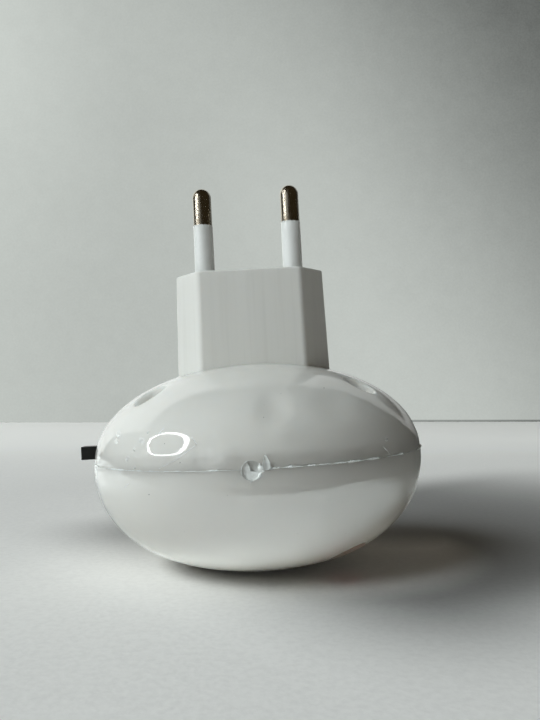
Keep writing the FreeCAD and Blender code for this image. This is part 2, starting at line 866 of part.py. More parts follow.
def build():
    """Builds every piece and writes one file for each node."""
    os.makedirs("parts", exist_ok=True)
    save("rear_shell", make_rear_shell())
    save("front_shell", make_front_shell())
    save("plug_body", make_plug_body())
    save("pin_keeper", make_keeper())
    for side, place in pin_places.items():
        save(side + "_pin", make_pin(place))
        save(side + "_pin_sleeve", make_sleeve(place))
    small = (small_screw_radius, small_screw_length, small_head_radius, small_head_height)
    save("keeper_screw", make_screw(*small, keeper_under_z, Vector(0, 0, 0), -1))
    save("flange_screws", *[
        make_screw(*small, flange_under_z, Vector(0, side * flange_screw_y, 0), -1) for side in (-1, 1)
    ])
    case = (case_screw_radius, case_screw_length, case_head_radius, case_head_height)
    save("case_screws", *[make_screw(*case, seat_z, place, 1) for place in case_screw_places])
    save("circuit_board", make_board())
    save("switch_can", make_switch_can())
    save("switch_base", make_switch_base())
    save("switch_terminals", *make_switch_terminals())
    save("switch_lever", make_lever())
    save("switch_contact", make_switch_contact())
    for number, place in enumerate(led_places, 1):
        save("led_%d" % number, make_led(place))
    save("led_leads", *[
        cylinder(lead_radius, board_under_z, board_top_z + lead_tail, Vector(x, y, 0))
        for x, y in led_lead_places()
    ])
    save("film_capacitor", make_film_capacitor())
    save("smoothing_capacitor", make_round_capacitor())
    for name, sizes in axial_parts().items():
        save(name, make_axial_body(*sizes))
    save("component_leads", *make_component_leads())
    save("solder_joints", *make_solder_joints())
    save("left_wire", make_wire(-1))
    save("right_wire", make_wire(1))
    save("wire_ends", *make_wire_ends())


build()
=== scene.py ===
import math

import bmesh
import bpy
from mathutils import Matrix, Vector, noise


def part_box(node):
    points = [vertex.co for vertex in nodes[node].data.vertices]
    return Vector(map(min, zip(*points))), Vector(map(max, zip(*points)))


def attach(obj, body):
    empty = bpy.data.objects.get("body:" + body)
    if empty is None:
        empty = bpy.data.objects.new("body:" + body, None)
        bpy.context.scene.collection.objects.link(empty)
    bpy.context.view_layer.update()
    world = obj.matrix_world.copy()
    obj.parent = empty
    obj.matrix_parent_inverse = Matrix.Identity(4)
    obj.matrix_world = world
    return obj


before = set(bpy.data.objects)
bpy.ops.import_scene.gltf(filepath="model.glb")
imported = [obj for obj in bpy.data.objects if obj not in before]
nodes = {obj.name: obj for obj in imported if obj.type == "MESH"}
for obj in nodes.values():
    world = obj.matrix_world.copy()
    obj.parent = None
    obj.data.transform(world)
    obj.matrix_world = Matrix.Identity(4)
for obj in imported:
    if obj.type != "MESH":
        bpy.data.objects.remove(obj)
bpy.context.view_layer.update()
scene = bpy.context.scene
scene.view_settings.view_transform = "Standard"
print("frame loaded,", len(nodes), "nodes")

# heights above the resting flat, in metres
caseShape = {"partingHeight": 0.0226, "sleeveTop": 0.0718}

# the light leans in the photograph, so the table is turned under it instead
leanAngle = math.radians(2.9)
trueUp = Vector((math.sin(leanAngle), 0.0, math.cos(leanAngle)))
leanTurn = Matrix.Rotation(leanAngle, 4, "Y")

cameraView = {
    # place and clip distances in metres, lens and sensor in millimetres, turns in degrees
    "place": (0.00082, -0.14987, 0.03514),
    "clip": (0.005, 10.0),
    "lens": 34.85,
    "sensor": 36.0,
    "yaw": -1.04,
    "pitch": 2.68,
    "roll": -2.95,
}


def placeCamera(view):
    data = bpy.data.cameras.new("photoCamera")
    data.lens = view["lens"]
    data.sensor_width = view["sensor"]
    data.clip_start, data.clip_end = view["clip"]
    camera = bpy.data.objects.new("photoCamera", data)
    turn = Matrix.Rotation(math.radians(view["yaw"]), 4, "Z")
    turn = turn @ Matrix.Rotation(math.radians(90.0 + view["pitch"]), 4, "X")
    turn = turn @ Matrix.Rotation(math.radians(view["roll"]), 4, "Z")
    camera.matrix_world = Matrix.Translation(view["place"]) @ turn
    scene.collection.objects.link(camera)
    scene.camera = camera


placeCamera(cameraView)
print("camera placed")


class Wire:
    def __init__(self, maker, socket):
        self.maker = maker
        self.socket = socket

    def __add__(self, other):
        return self.maker.maths("ADD", self, other)

    __radd__ = __add__

    def __sub__(self, other):
        return self.maker.maths("SUBTRACT", self, other)

    def __rsub__(self, other):
        return self.maker.maths("SUBTRACT", other, self)

    def __mul__(self, other):
        return self.maker.maths("MULTIPLY", self, other)

    __rmul__ = __mul__

    def __truediv__(self, other):
        return self.maker.maths("DIVIDE", self, other)

    def __lt__(self, other):
        return self.maker.maths("LESS_THAN", self, other)


class Maker:
    def __init__(self, tree):
        self.tree = tree

    def node(self, kind, settings=None, sockets=None, out=0):
        made = self.tree.nodes.new(kind)
        for name, value in (settings or {}).items():
            setattr(made, name, value)
        for name, value in (sockets or {}).items():
            if isinstance(value, Wire):
                self.tree.links.new(value.socket, made.inputs[name])
            else:
                made.inputs[name].default_value = value
        if isinstance(out, tuple):
            return [Wire(self, made.outputs[name]) for name in out]
        return Wire(self, made.outputs[out]) if made.outputs else None

    def maths(self, operation, a, b=0.0, clamp=False):
        return self.node("ShaderNodeMath", {"operation": operation, "use_clamp": clamp}, {0: a, 1: b})

    def clamp(self, value):
        return self.maths("ADD", value, 0.0, clamp=True)

    def highest(self, masks):
        top = None
        for mask in masks:
            top = mask if top is None else self.maths("MAXIMUM", top, mask)
        return top

    def ramp(self, value, low, high, start=0.0, end=1.0):
        # goes smoothly from start at low to end at high, and stays level outside them
        settings = {"interpolation_type": "SMOOTHSTEP"}
        sockets = {0: value, 1: low, 2: high, 3: start, 4: end}
        return self.node("ShaderNodeMapRange", settings, sockets)

    def split(self, vector):
        return self.node("ShaderNodeSeparateXYZ", None, {0: vector}, out=(0, 1, 2))

    def rays(self):
        return self.node("ShaderNodeLightPath", out=("Is Camera Ray", "Is Glossy Ray"))

    def join(self, x, y, z):
        return self.node("ShaderNodeCombineXYZ", None, {0: x, 1: y, 2: z})

    def vector(self, operation, a, b=None, scale=None, out=0):
        sockets = {0: a}
        if b is not None:
            sockets[1] = b
        if scale is not None:
            sockets["Scale"] = scale
        return self.node("ShaderNodeVectorMath", {"operation": operation}, sockets, out)

    def blend(self, factor, a, b):
        return self.node("ShaderNodeMix", {"data_type": "RGBA"}, {0: factor, 6: a, 7: b}, out=2)

    def noise(self, place, scale, detail=3.0, rough=0.5):
        sockets = {"Vector": place, "Scale": scale, "Detail": detail, "Roughness": rough}
        return self.node("ShaderNodeTexNoise", None, sockets)

    def stretched(self, place, scale):
        return self.node("ShaderNodeMapping", None, {0: place, 3: scale})

    def bump(self, height, distance):
        return self.node("ShaderNodeBump", None, {"Strength": 1.0, "Distance": distance, "Height": height})

    def emission(self, colour, level):
        # the level goes into the colour, so that it may change over the surface
        scaled = self.vector("SCALE", colour[:3], scale=level)
        return self.node("ShaderNodeEmission", None, {"Color": scaled, "Strength": 1.0})

    def nearPoint(self, place, point, radius):
        gap = self.vector("DISTANCE", place, point, out=1)
        return self.ramp(gap, 0.0, radius, 1.0, 0.0)

    def nearLine(self, place, start, end, radius):
        # how near a spot is to a straight scratch, 1 on it and 0 from radius outwards
        a, b = Vector(start), Vector(end)
        along = self.vector("DOT_PRODUCT", self.vector("SUBTRACT", place, start), tuple(b - a), out=1)
        part = self.clamp(along / (b - a).length_squared)
        foot = self.vector("SCALE", tuple(b - a), scale=part)
        foot = self.vector("ADD", foot, start)
        gap = self.vector("DISTANCE", place, foot, out=1)
        return self.ramp(gap, 0.0, radius, 1.0, 0.0)


class Finish(Maker):
    def __init__(self, name):
        self.material = bpy.data.materials.get(name) or bpy.data.materials.new(name)
        self.material.use_nodes = True
        self.material.node_tree.nodes.clear()
        Maker.__init__(self, self.material.node_tree)

    def place(self):
        return self.node("ShaderNodeTexCoord", out="Object")

    def surface(self, **sockets):
        return self.node("ShaderNodeBsdfPrincipled", None, {plainName(k): v for k, v in sockets.items()})

    def done(self, shader):
        self.node("ShaderNodeOutputMaterial", None, {"Surface": shader})
        return self.material


def plainName(word):
    # baseColor becomes Base Color
    special = {"ior": "IOR", "specularIorLevel": "Specular IOR Level"}
    if word in special:
        return special[word]
    spaced = "".join(" " + c if c.isupper() else c for c in word)
    return spaced.title()


def dress(nodeName, material):
    piece = nodes[nodeName]
    if piece.data.materials:
        piece.data.materials[0] = material
    else:
        piece.data.materials.append(material)


domeLook = {
    "white": (0.905, 0.878, 0.81, 1.0),
    "haze": (0.885, 0.858, 0.79, 1.0),
    "scratchGlintWhite": (1.0, 1.0, 1.0, 1.0),
    "speckBrown": (0.34, 0.32, 0.28, 1.0),
    "dustGrey": (0.5, 0.48, 0.44, 1.0),
    "roughness": 0.025,
    "ior": 1.75,
    "scatter": 0.8,
    "scatterTint": (0.9, 0.95, 1.0),
    "rearReach": 0.006,
    "frontReach": 0.009,
    "sinkDepth": 0.00045,
    "scratchDepth": 0.00012,
    "pipHeight": 0.00030,
    # how far a mark fades out, in metres for each millimetre of its size
    "lineFade": 0.0013,
    "pipFade": 0.0014,
    # start, end and half width of each hairline, in millimetres like the marks below; the hairlines are also
    # painted whiter, as a glint
    "hairlines": [
        ((-10.5, -31.6, 26.8), (-13.8, -31.0, 24.6), 0.10),
        ((-13.8, -31.0, 24.6), (-17.0, -29.5, 23.1), 0.09),
        ((-11.0, -30.7, 28.3), (-10.2, -31.6, 27.2), 0.13),
        ((-17.2, -27.4, 28.9), (-16.1, -27.2, 29.9), 0.10),
        ((-23.9, -24.1, 19.6), (-23.1, -25.0, 20.3), 0.10),
        ((22.5, -25.3, 24.6), (23.9, -24.2, 22.9), 0.06),
    ],
    # middle and radius of the small raised spots, which are also painted whiter, as a glint
    "pips": [
        ((-20.5, -25.8, 27.8), 0.55),
        ((-25.7, -19.7, 28.8), 0.60),
        ((-25.9, -20.5, 27.6), 0.45),
        ((-23.2, -24.7, 24.7), 0.50),
        ((-21.8, -25.4, 26.3), 0.30),
        ((-19.2, -25.8, 29.2), 0.25),
        ((-21.7, -26.3, 23.2), 0.30),
        ((23.4, -24.3, 25.6), 0.30),
    ],
    # middle and radius of the dark specks
    "specks": [
        ((12.8, -22.1, 35.5), 0.14),
        ((1.4, -30.8, 31.0), 0.12),
        ((-13.1, -31.35, 24.15), 0.16),
        ((-19.1, -27.9, 18.6), 0.16),
        ((-15.9, -29.0, 27.3), 0.12),
    ],
    # shallow sinks: middle, radius and sign
    "sinks": [
        ((3.3, -29.2, 32.5), 4.2, -1.0),
        ((4.4, -32.0, 29.0), 3.2, 0.3),
        ((-5.2, -33.5, 24.7), 2.6, 0.5),
        ((-9.0, -32.6, 24.4), 2.8, -0.6),
        ((14.0, -24.0, 33.0), 5.0, -0.5),
    ],
}


def mm(point):
    return tuple(v * 0.001 for v in point)


def onFlat(point):
    return (point[0] * 0.001, 0.0, point[2] * 0.001)


def domeFinish(name, look, withPrint):
    f = Finish(name)
    place = f.place()
    x, y, z = f.split(place)
    # the small marks are on the side of the port and are laid out flat, seen along Y
    flat = f.join(x, 0.0, z)
    facing = f.ramp(y, -0.012, -0.010, 1.0, 0.0)
    cloud = f.noise(place, 60.0, 3.0)
    fine = f.noise(place, 900.0, 2.0)
    colour = f.blend(f.ramp(cloud, 0.35, 0.7), look["white"], look["haze"])
    rough = look["roughness"] + f.ramp(fine, 0.45, 0.8) * 0.02
    # long soft waves of a thin moulding, then its sinks
    height = f.noise(place, 28.0, 1.0) * 0.00002
    for spot, radius, sign in look["sinks"]:
        sink = f.nearPoint(flat, onFlat(spot), radius * 0.001) * facing
        height = height + sink * (look["sinkDepth"] * sign)
    lineFade, pipFade = look["lineFade"], look["pipFade"]
    lines = (f.nearLine(flat, onFlat(a), onFlat(b), width * lineFade) for a, b, width in look["hairlines"])
    scratchesAndGlint = f.highest(lines)
    pips = f.highest(f.nearPoint(flat, onFlat(spot), radius * pipFade) for spot, radius in look["pips"])
    specks = f.highest(f.nearPoint(flat, onFlat(spot), radius * 0.001) for spot, radius in look["specks"])
    ragged = f.ramp(f.noise(place, 2600.0, 2.0), 0.36, 0.52)
    scratchesAndGlint, pips, specks = scratchesAndGlint * facing, pips * facing, specks * facing
    height = height + scratchesAndGlint * ragged * look["scratchDepth"] + pips * pips * look["pipHeight"]
    rough = rough + scratchesAndGlint * 0.3
    # painted glint: the scratches and raised spots are whitened, standing in for the light they catch
    colour = f.blend(f.clamp(scratchesAndGlint * ragged + pips * 0.4), colour, look["scratchGlintWhite"])
    colour = f.blend(f.ramp(specks, 0.15, 0.5), colour, look["speckBrown"])
    # dust, thin and random
    dust = f.node("ShaderNodeTexVoronoi", None, {"Vector": place, "Scale": 420.0, "Randomness": 1.0})
    dustMask = f.ramp(dust, 0.03, 0.07, 1.0, 0.0) * f.ramp(f.noise(place, 180.0, 1.0), 0.62, 0.7)
    colour = f.blend(dustMask * 0.5, colour, look["dustGrey"])
    if withPrint:
        colour = printedRounds(f, place, colour, printLook)
    shader = f.surface(
        baseColor=colour,
        roughness=rough,
        ior=look["ior"],
        subsurfaceWeight=look["scatter"],
        subsurfaceRadius=look["scatterTint"],
        subsurfaceScale=look["frontReach"] if withPrint else look["rearReach"],
        normal=f.bump(height, 1.0),
    )
    return f.done(shader)


printLook = {
    # a plain ring, two red rounds, a disc and dots at the foot of the front dome
    "ringRadius": 0.0179,
    "ringHalf": 0.00055,
    "roundOrbit": 0.022,
    "roundRadius": 0.0036,
    "roundAngles": (-43.0, 137.0),
    "discRadius": 0.0085,
    "discMargin": 0.0009,
    # where the thin lines round the disc and the rounds start and stop fading
    "discLine": (0.0003, 0.0004),
    "roundLine": (0.00018, 0.00026),
    "edgeSoft": 0.00006,
    "dotOrbit": 0.0128,
    "dotRadius": 0.0009,
    "dotCount": 12,
    "red": (0.30, 0.02, 0.02, 1.0),
    "dark": (0.035, 0.03, 0.03, 1.0),
}


def printedRounds(f, place, colour, look):
    x, y, z = f.split(place)
    underside = z < caseShape["partingHeight"]
    reach = f.maths("SQRT", x * x + y * y)
    soft = look["edgeSoft"]
    fromRing = f.maths("ABSOLUTE", reach - look["ringRadius"])
    ring = f.ramp(fromRing, look["ringHalf"] - soft, look["ringHalf"] + soft, 1.0, 0.0)
    discLine = f.ramp(f.maths("ABSOLUTE", reach - look["discRadius"]), *look["discLine"], 1.0, 0.0)
    dark = f.maths("MAXIMUM", ring, discLine)
    discEdge = look["discRadius"] - look["discMargin"]
    red = f.ramp(reach, discEdge, discEdge + 0.0001, 1.0, 0.0)
    for angle in look["roundAngles"]:
        a = math.radians(angle)
        cx, cy = look["roundOrbit"] * math.cos(a), look["roundOrbit"] * math.sin(a)
        gap = f.maths("SQRT", (x - cx) * (x - cx) + (y - cy) * (y - cy))
        filled = f.ramp(gap, look["roundRadius"] - soft, look["roundRadius"] + soft, 1.0, 0.0)
        red = f.maths("MAXIMUM", red, filled)
        line = f.ramp(f.maths("ABSOLUTE", gap - look["roundRadius"]), *look["roundLine"], 1.0, 0.0)
        dark = f.maths("MAXIMUM", dark, line)
    # dots evenly round the middle, folded into one sector
    sector = 2.0 * math.pi / look["dotCount"]
    turn = f.maths("ARCTAN2", y, x)
    folded = f.maths("PINGPONG", turn + math.pi, sector / 2.0)
    along, across = f.maths("COSINE", folded) * reach, f.maths("SINE", folded) * reach
    gap = f.maths("SQRT", (along - look["dotOrbit"]) * (along - look["dotOrbit"]) + across * across)
    dark = f.maths("MAXIMUM", dark, f.ramp(gap, look["dotRadius"] - soft, look["dotRadius"] + soft, 1.0, 0.0))
    worn = f.ramp(f.noise(place, 1500.0, 3.0), 0.28, 0.36)
    colour = f.blend(red * underside * worn, colour, look["red"])
    return f.blend(dark * underside * worn, colour, look["dark"])


dress("rear_shell", domeFinish("rear_white", domeLook, False))
dress("front_shell", domeFinish("front_white", domeLook, True))
print("domes dressed")


plugLook = {
    "white": (0.77, 0.755, 0.72, 1.0),
    "streak": (0.705, 0.69, 0.655, 1.0),
    "roughness": 0.42,
    "sleeveWhite": (0.84, 0.84, 0.82, 1.0),
    "sleeveCloud": (0.76, 0.76, 0.735, 1.0),
    "nickel": (0.66, 0.61, 0.51, 1.0),
    "nickelDull": (0.42, 0.36, 0.27, 1.0),
}


def plugFinish(look):
    f = Finish("plug_white")
    place = f.place()
    # marks of the mould's draw run along Z
    drawn = f.noise(f.stretched(place, (1.0, 1.0, 0.02)), 700.0, 3.0, 0.6)
    broad = f.noise(f.stretched(place, (1.0, 1.0, 0.05)), 160.0, 2.0)
    grain = f.noise(place, 3500.0, 2.0)
    streaks = f.ramp(drawn, 0.45, 0.75) * 0.5 + f.ramp(broad, 0.4, 0.7) * 0.5
    colour = f.blend(streaks, look["white"], look["streak"])
    rough = look["roughness"] + f.ramp(grain, 0.4, 0.7) * 0.08
    height = drawn * 0.000012 + broad * 0.00002 + grain * 0.000004
    shader = f.surface(
        baseColor=colour, roughness=rough, ior=1.46, normal=f.bump(height, 1.0),
        subsurfaceWeight=0.15, subsurfaceRadius=(1.0, 0.9, 0.75), subsurfaceScale=0.002,
    )
    return f.done(shader)


def sleeveFinish(look):
    f = Finish("sleeve_white")
    place = f.place()
    cloud = f.noise(f.stretched(place, (1.0, 1.0, 0.3)), 500.0, 2.0)
    colour = f.blend(f.ramp(cloud, 0.4, 0.7), look["sleeveWhite"], look["sleeveCloud"])
    rough = 0.22 + f.ramp(cloud, 0.3, 0.7) * 0.1
    shader = f.surface(baseColor=colour, roughness=rough, normal=f.bump(cloud * 0.00001, 1.0))
    return f.done(shader)


def nickelFinish(look):
    f = Finish("pin_nickel")
    place = f.place()
    z = f.split(place)[2]
    turned = f.noise(f.stretched(place, (0.04, 0.04, 1.0)), 6000.0, 3.0, 0.6)
    tarnish = f.noise(place, 700.0, 4.0, 0.6)
    # rubbed by sockets along the pin, and duller near the sleeve
    rubbed = f.noise(f.stretched(place, (1.0, 1.0, 0.08)), 2400.0, 2.0)
    low = f.ramp(z, caseShape["sleeveTop"], caseShape["sleeveTop"] + 0.002, 1.0, 0.0)
    dull = f.ramp(tarnish, 0.45, 0.75) * 0.6 + low * 0.35
    colour = f.blend(f.clamp(dull), look["nickel"], look["nickelDull"])
    rough = 0.20 + f.ramp(rubbed, 0.4, 0.75) * 0.12 + low * 0.08
    height = turned * 0.000004 + rubbed * 0.000005
    shader = f.surface(baseColor=colour, metallic=1.0, roughness=rough, normal=f.bump(height, 1.0))
    return f.done(shader)


dress("plug_body", plugFinish(plugLook))
sleeveWhite = sleeveFinish(plugLook)
nickel = nickelFinish(plugLook)
for side in ("left", "right"):
    dress(side + "_pin_sleeve", sleeveWhite)
    dress(side + "_pin", nickel)
print("plug and pins dressed")


leverLook = {"black": (0.006, 0.006, 0.005, 1.0), "grey": (0.014, 0.014, 0.013, 1.0)}
ledLook = {"clear": (0.90, 0.93, 0.96, 1.0), "haze": (0.84, 0.88, 0.93, 1.0), "transmission": 0.85}
innerLook = {
    # colour, second colour, roughness, metallic, grain size and grain height
    "screw_zinc": ((0.62, 0.63, 0.64, 1.0), (0.50, 0.50, 0.49, 1.0), 0.30, 1.0, 1800.0, 0.000006),
    "keeper_white": ((0.80, 0.80, 0.78, 1.0), (0.74, 0.74, 0.71, 1.0), 0.50, 0.0, 900.0, 0.000008),
    "board_brown": ((0.45, 0.27, 0.11, 1.0), (0.36, 0.20, 0.08, 1.0), 0.45, 0.0, 1400.0, 0.000006),
    "switch_steel": ((0.68, 0.68, 0.67, 1.0), (0.58, 0.58, 0.56, 1.0), 0.28, 1.0, 1500.0, 0.000004),
    "switch_laminate": ((0.32, 0.20, 0.12, 1.0), (0.25, 0.15, 0.09, 1.0), 0.55, 0.0, 1600.0, 0.000006),
    "contact_silver": ((0.80, 0.78, 0.72, 1.0), (0.62, 0.58, 0.50, 1.0), 0.25, 1.0, 1900.0, 0.000003),
    "lead_tin": ((0.70, 0.70, 0.68, 1.0), (0.58, 0.58, 0.56, 1.0), 0.30, 1.0, 2500.0, 0.000003),
    "film_yellow": ((0.78, 0.55, 0.10, 1.0), (0.70, 0.46, 0.07, 1.0), 0.35, 0.0, 700.0, 0.000012),
    "solder": ((0.74, 0.74, 0.74, 1.0), (0.60, 0.60, 0.60, 1.0), 0.22, 1.0, 1300.0, 0.00001),
    "wire_brown": ((0.30, 0.13, 0.06, 1.0), (0.25, 0.10, 0.045, 1.0), 0.42, 0.0, 1100.0, 0.000006),
    "wire_blue": ((0.06, 0.17, 0.50, 1.0), (0.05, 0.13, 0.42, 1.0), 0.42, 0.0, 1100.0, 0.000006),
    "wire_copper": ((0.80, 0.45, 0.28, 1.0), (0.68, 0.36, 0.20, 1.0), 0.25, 1.0, 2500.0, 0.000006),
}


def innerFinish(name, look):
    first, second, roughness, metal, grain, depth = look
    f = Finish(name)
    place = f.place()
    mottled = f.noise(place, grain, 3.0)
    patches = f.noise(place, grain * 0.2, 2.0)
    colour = f.blend(f.ramp(patches, 0.35, 0.7), first, second)
    rough = roughness + f.ramp(mottled, 0.35, 0.7) * 0.12
    shader = f.surface(baseColor=colour, metallic=metal, roughness=rough, normal=f.bump(mottled * depth, 1.0))
    return f.done(shader)


def leverFinish(look):
    f = Finish("lever_black")
    place = f.place()
    grain = f.noise(place, 4200.0, 3.0)
    rubbed = f.noise(place, 600.0, 3.0)
    colour = f.blend(f.ramp(rubbed, 0.5, 0.75), look["black"], look["grey"])
    rough = 0.38 + f.ramp(rubbed, 0.4, 0.7) * 0.14
    shader = f.surface(baseColor=colour, roughness=rough, normal=f.bump(grain * 0.00002, 1.0))
    return f.done(shader)


def bandedFinish(name, node, body, bands, roughness):
    # a small part with painted rings, each given by its place and half width along it, and its colour
    f = Finish(name)
    place = f.place()
    low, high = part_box(node)
    lengths = [b - a for a, b in zip(low, high)]
    axis = lengths.index(max(lengths))
    along = (f.split(place)[axis] - low[axis]) / (high[axis] - low[axis])
    mottled = f.noise(place, 1600.0, 2.0)
    colour = f.blend(f.ramp(mottled, 0.35, 0.7) * 0.35, body, tuple(v * 0.8 for v in body[:3]) + (1.0,))
    for centre, half, paint in bands:
        ring = f.ramp(f.maths("ABSOLUTE", along - centre), half * 0.85, half, 1.0, 0.0)
        colour = f.blend(ring, colour, paint)
    rough = roughness + f.ramp(mottled, 0.35, 0.7) * 0.1
    shader = f.surface(baseColor=colour, roughness=rough, normal=f.bump(mottled * 0.000008, 1.0))
    return f.done(shader)


def ledFinish(look):
    f = Finish("led_clear")
    haze = f.noise(f.place(), 900.0, 2.0)
    colour = f.blend(haze, look["clear"], look["haze"])
    rough = 0.06 + haze * 0.05
    shader = f.surface(
        baseColor=colour, roughness=rough, ior=1.5, transmissionWeight=look["transmission"],
        normal=f.bump(haze * 0.00001, 1.0),
    )
    return f.done(shader)


for slotName, look in innerLook.items():
    innerFinish(slotName, look)
leverFinish(leverLook)
ledFinish(ledLook)

black, gold = (0.03, 0.03, 0.03, 1.0), (0.62, 0.45, 0.12, 1.0)
red, brown, silver = (0.55, 0.05, 0.04, 1.0), (0.25, 0.10, 0.04, 1.0), (0.68, 0.68, 0.66, 1.0)
bandedLook = {
    # colour, bands and roughness
    "fuse": (
        (0.25, 0.45, 0.55, 1.0),
        [(0.25, 0.05, brown), (0.4, 0.05, black), (0.55, 0.05, black), (0.78, 0.05, gold)], 0.35,
    ),
    "bleed": (
        (0.72, 0.58, 0.40, 1.0),
        [(0.22, 0.05, gold), (0.36, 0.05, red), (0.5, 0.05, black), (0.72, 0.05, brown)], 0.35,
    ),
    "can": ((0.03, 0.04, 0.10, 1.0), [(0.08, 0.03, silver)], 0.25),
    "diode": ((0.02, 0.02, 0.02, 1.0), [(0.2, 0.08, silver)], 0.3),
}
bandedFinish("fuse_blue", "fuse_resistor", *bandedLook["fuse"])
bandedFinish("bleed_tan", "bleed_resistor", *bandedLook["bleed"])
bandedFinish("can_sleeve", "smoothing_capacitor", *bandedLook["can"])
for i in range(1, 5):
    diode = "diode_" + str(i)
    dress(diode, bandedFinish("diodeBlack" + str(i), diode, *bandedLook["diode"]))
print("inside dressed")


trimLook = {
    "flashWhite": (0.93, 0.94, 0.93, 1.0),
    "flashCloud": (0.78, 0.79, 0.77, 1.0),
    "leafClear": (0.97, 0.98, 0.97, 1.0),
    "leafCloud": (0.88, 0.89, 0.87, 1.0),
    "leafTransmission": 0.45,
}
flashSeed = 4.0
flashLook = {
    # radius, start and sweep in degrees, bead, wobble, turn in degrees and place, lengths in millimetres
    "parting_flash_front": (33.92, -87.8, 84.3, 0.16, 0.24, (0.0, 0.0, 0.0), (0.0, 0.0, 22.63)),
    "parting_flash_back": (33.89, 7.0, 166.0, 0.09, 0.16, (0.0, 0.0, 0.0), (0.0, 0.0, 22.63)),
    "parting_flash_left": (33.90, 186.5, 78.6, 0.10, 0.20, (0.0, 0.0, 0.0), (0.0, 0.0, 22.63)),
    "parting_flash_nib": (34.0, -15.0, 13.0, 0.20, 0.30, (0.0, 0.0, 0.0), (0.0, 0.0, 22.63)),
    "port_lip": (1.66, -98.0, 100.0, 0.36, 0.12, (90.0, 0.0, 0.0), (-1.1, -33.94, 22.45)),
    "port_burr": (1.67, 112.0, 95.0, 0.07, 0.16, (90.0, 0.0, 0.0), (-1.1, -33.80, 22.45)),
    "left_sleeve_burr": (2.05, 0.0, 359.0, 0.06, 0.14, (0.0, 0.0, 0.0), (-9.5, 0.0, 71.78)),
    "right_sleeve_burr": (2.05, 0.0, 359.0, 0.07, 0.22, (0.0, 0.0, 0.0), (9.5, 0.0, 71.78)),
}


def flashTree():
    # an uneven bead along an arc
    tree = bpy.data.node_groups.new("unevenBead", "GeometryNodeTree")
    inputs = {
        "Float": ("Radius", "Start Angle", "Sweep Angle", "Bead", "Wobble", "Seed"),
        "Vector": ("Turn", "Place"),
        "Material": ("Material",),
    }
    for kind, names in inputs.items():
        for name in names:
            tree.interface.new_socket(name, in_out="INPUT", socket_type="NodeSocket" + kind)
    tree.interface.new_socket("Geometry", in_out="OUTPUT", socket_type="NodeSocketGeometry")
    m = Maker(tree)
    names = sum(inputs.values(), ())
    size = dict(zip(names, m.node("NodeGroupInput", out=names)))
    sockets = {name: size[name] for name in ("Radius", "Start Angle", "Sweep Angle")}
    line = m.node("GeometryNodeCurveArc", {"mode": "RADIUS"}, {"Resolution": 700, **sockets})
    here = m.node("GeometryNodeInputPosition")
    coarse = m.node(
        "ShaderNodeTexNoise", {"noise_dimensions": "4D"},
        {"Vector": here, "W": size["Seed"], "Scale": 450.0, "Detail": 4.0},
    )
    fine = m.node(
        "ShaderNodeTexNoise", {"noise_dimensions": "4D"},
        {"Vector": here, "W": size["Seed"] + 7.0, "Scale": 1600.0, "Detail": 3.0},
    )
    rise = (coarse - 0.5) * size["Wobble"]
    line = m.node("GeometryNodeSetPosition", None, {"Geometry": line, "Offset": m.join(0.0, 0.0, rise)})
    thick = m.ramp(coarse, 0.38, 0.66, 0.15, 1.5) * m.ramp(fine, 0.3, 0.75, 0.4, 1.7)
    line = m.node("GeometryNodeSetCurveRadius", None, {"Curve": line, "Radius": thick})
    profile = m.node("GeometryNodeCurvePrimitiveCircle", None, {"Resolution": 7, "Radius": size["Bead"]})
    sweep = {"Curve": line, "Profile Curve": profile, "Scale": thick, "Fill Caps": True}
    skin = m.node("GeometryNodeCurveToMesh", None, sweep)
    moved = {"Geometry": skin, "Rotation": size["Turn"], "Translation": size["Place"]}
    solid = m.node("GeometryNodeRealizeInstances", None, {0: m.node("GeometryNodeTransform", None, moved)})
    painted = m.node("GeometryNodeSetMaterial", None, {"Geometry": solid, "Material": size["Material"]})
    m.node("NodeGroupOutput", None, {0: painted})
    return tree


def kept(name, mesh, smooth=True):
    # turns a mesh into a piece that rides on the housing
    piece = bpy.data.objects.new(name, mesh)
    scene.collection.objects.link(piece)
    for face in mesh.polygons:
        face.use_smooth = smooth
    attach(piece, "housing")
    print("kept", name, len(mesh.polygons), "faces")


def grown(name, tree, values):
    # runs a tree on a mesh of one point and keeps the result as a plain mesh
    seedMesh = bpy.data.meshes.new(name + "Seed")
    seedMesh.from_pydata([(0.0, 0.0, 0.0)], [], [])
    carrier = bpy.data.objects.new(name + "Carrier", seedMesh)
    scene.collection.objects.link(carrier)
    modifier = carrier.modifiers.new("grow", "NODES")
    modifier.node_group = tree
    for item in tree.interface.items_tree:
        if item.in_out == "INPUT" and item.name in values:
            modifier[item.identifier] = values[item.name]
    depsgraph = bpy.context.evaluated_depsgraph_get()
    mesh = bpy.data.meshes.new_from_object(carrier.evaluated_get(depsgraph))
    mesh.name = name
    bpy.data.objects.remove(carrier)
    kept(name, mesh)


def flashFinish(look):
    f = Finish("flashWhite")
    cloud = f.noise(f.place(), 1500.0, 3.0)
    colour = f.blend(f.ramp(cloud, 0.3, 0.7), look["flashWhite"], look["flashCloud"])
    rough = 0.2 + cloud * 0.15
    shader = f.surface(baseColor=colour, roughness=rough, ior=1.5, normal=f.bump(cloud * 0.00003, 1.0))
    return f.done(shader)


flashWhite = flashFinish(trimLook)
flashNodes = flashTree()
for name, (radius, start, sweep, bead, wobble, turn, spot) in flashLook.items():
    values = {
        "Radius": radius * 0.001,
        "Start Angle": math.radians(start),
        "Sweep Angle": math.radians(sweep),
        "Bead": bead * 0.001,
        "Wobble": wobble * 0.001,
        "Seed": flashSeed,
        "Turn": [math.radians(v) for v in turn],
        "Place": mm(spot),
        "Material": flashWhite,
    }
    grown(name, flashNodes, values)
print("flash made")


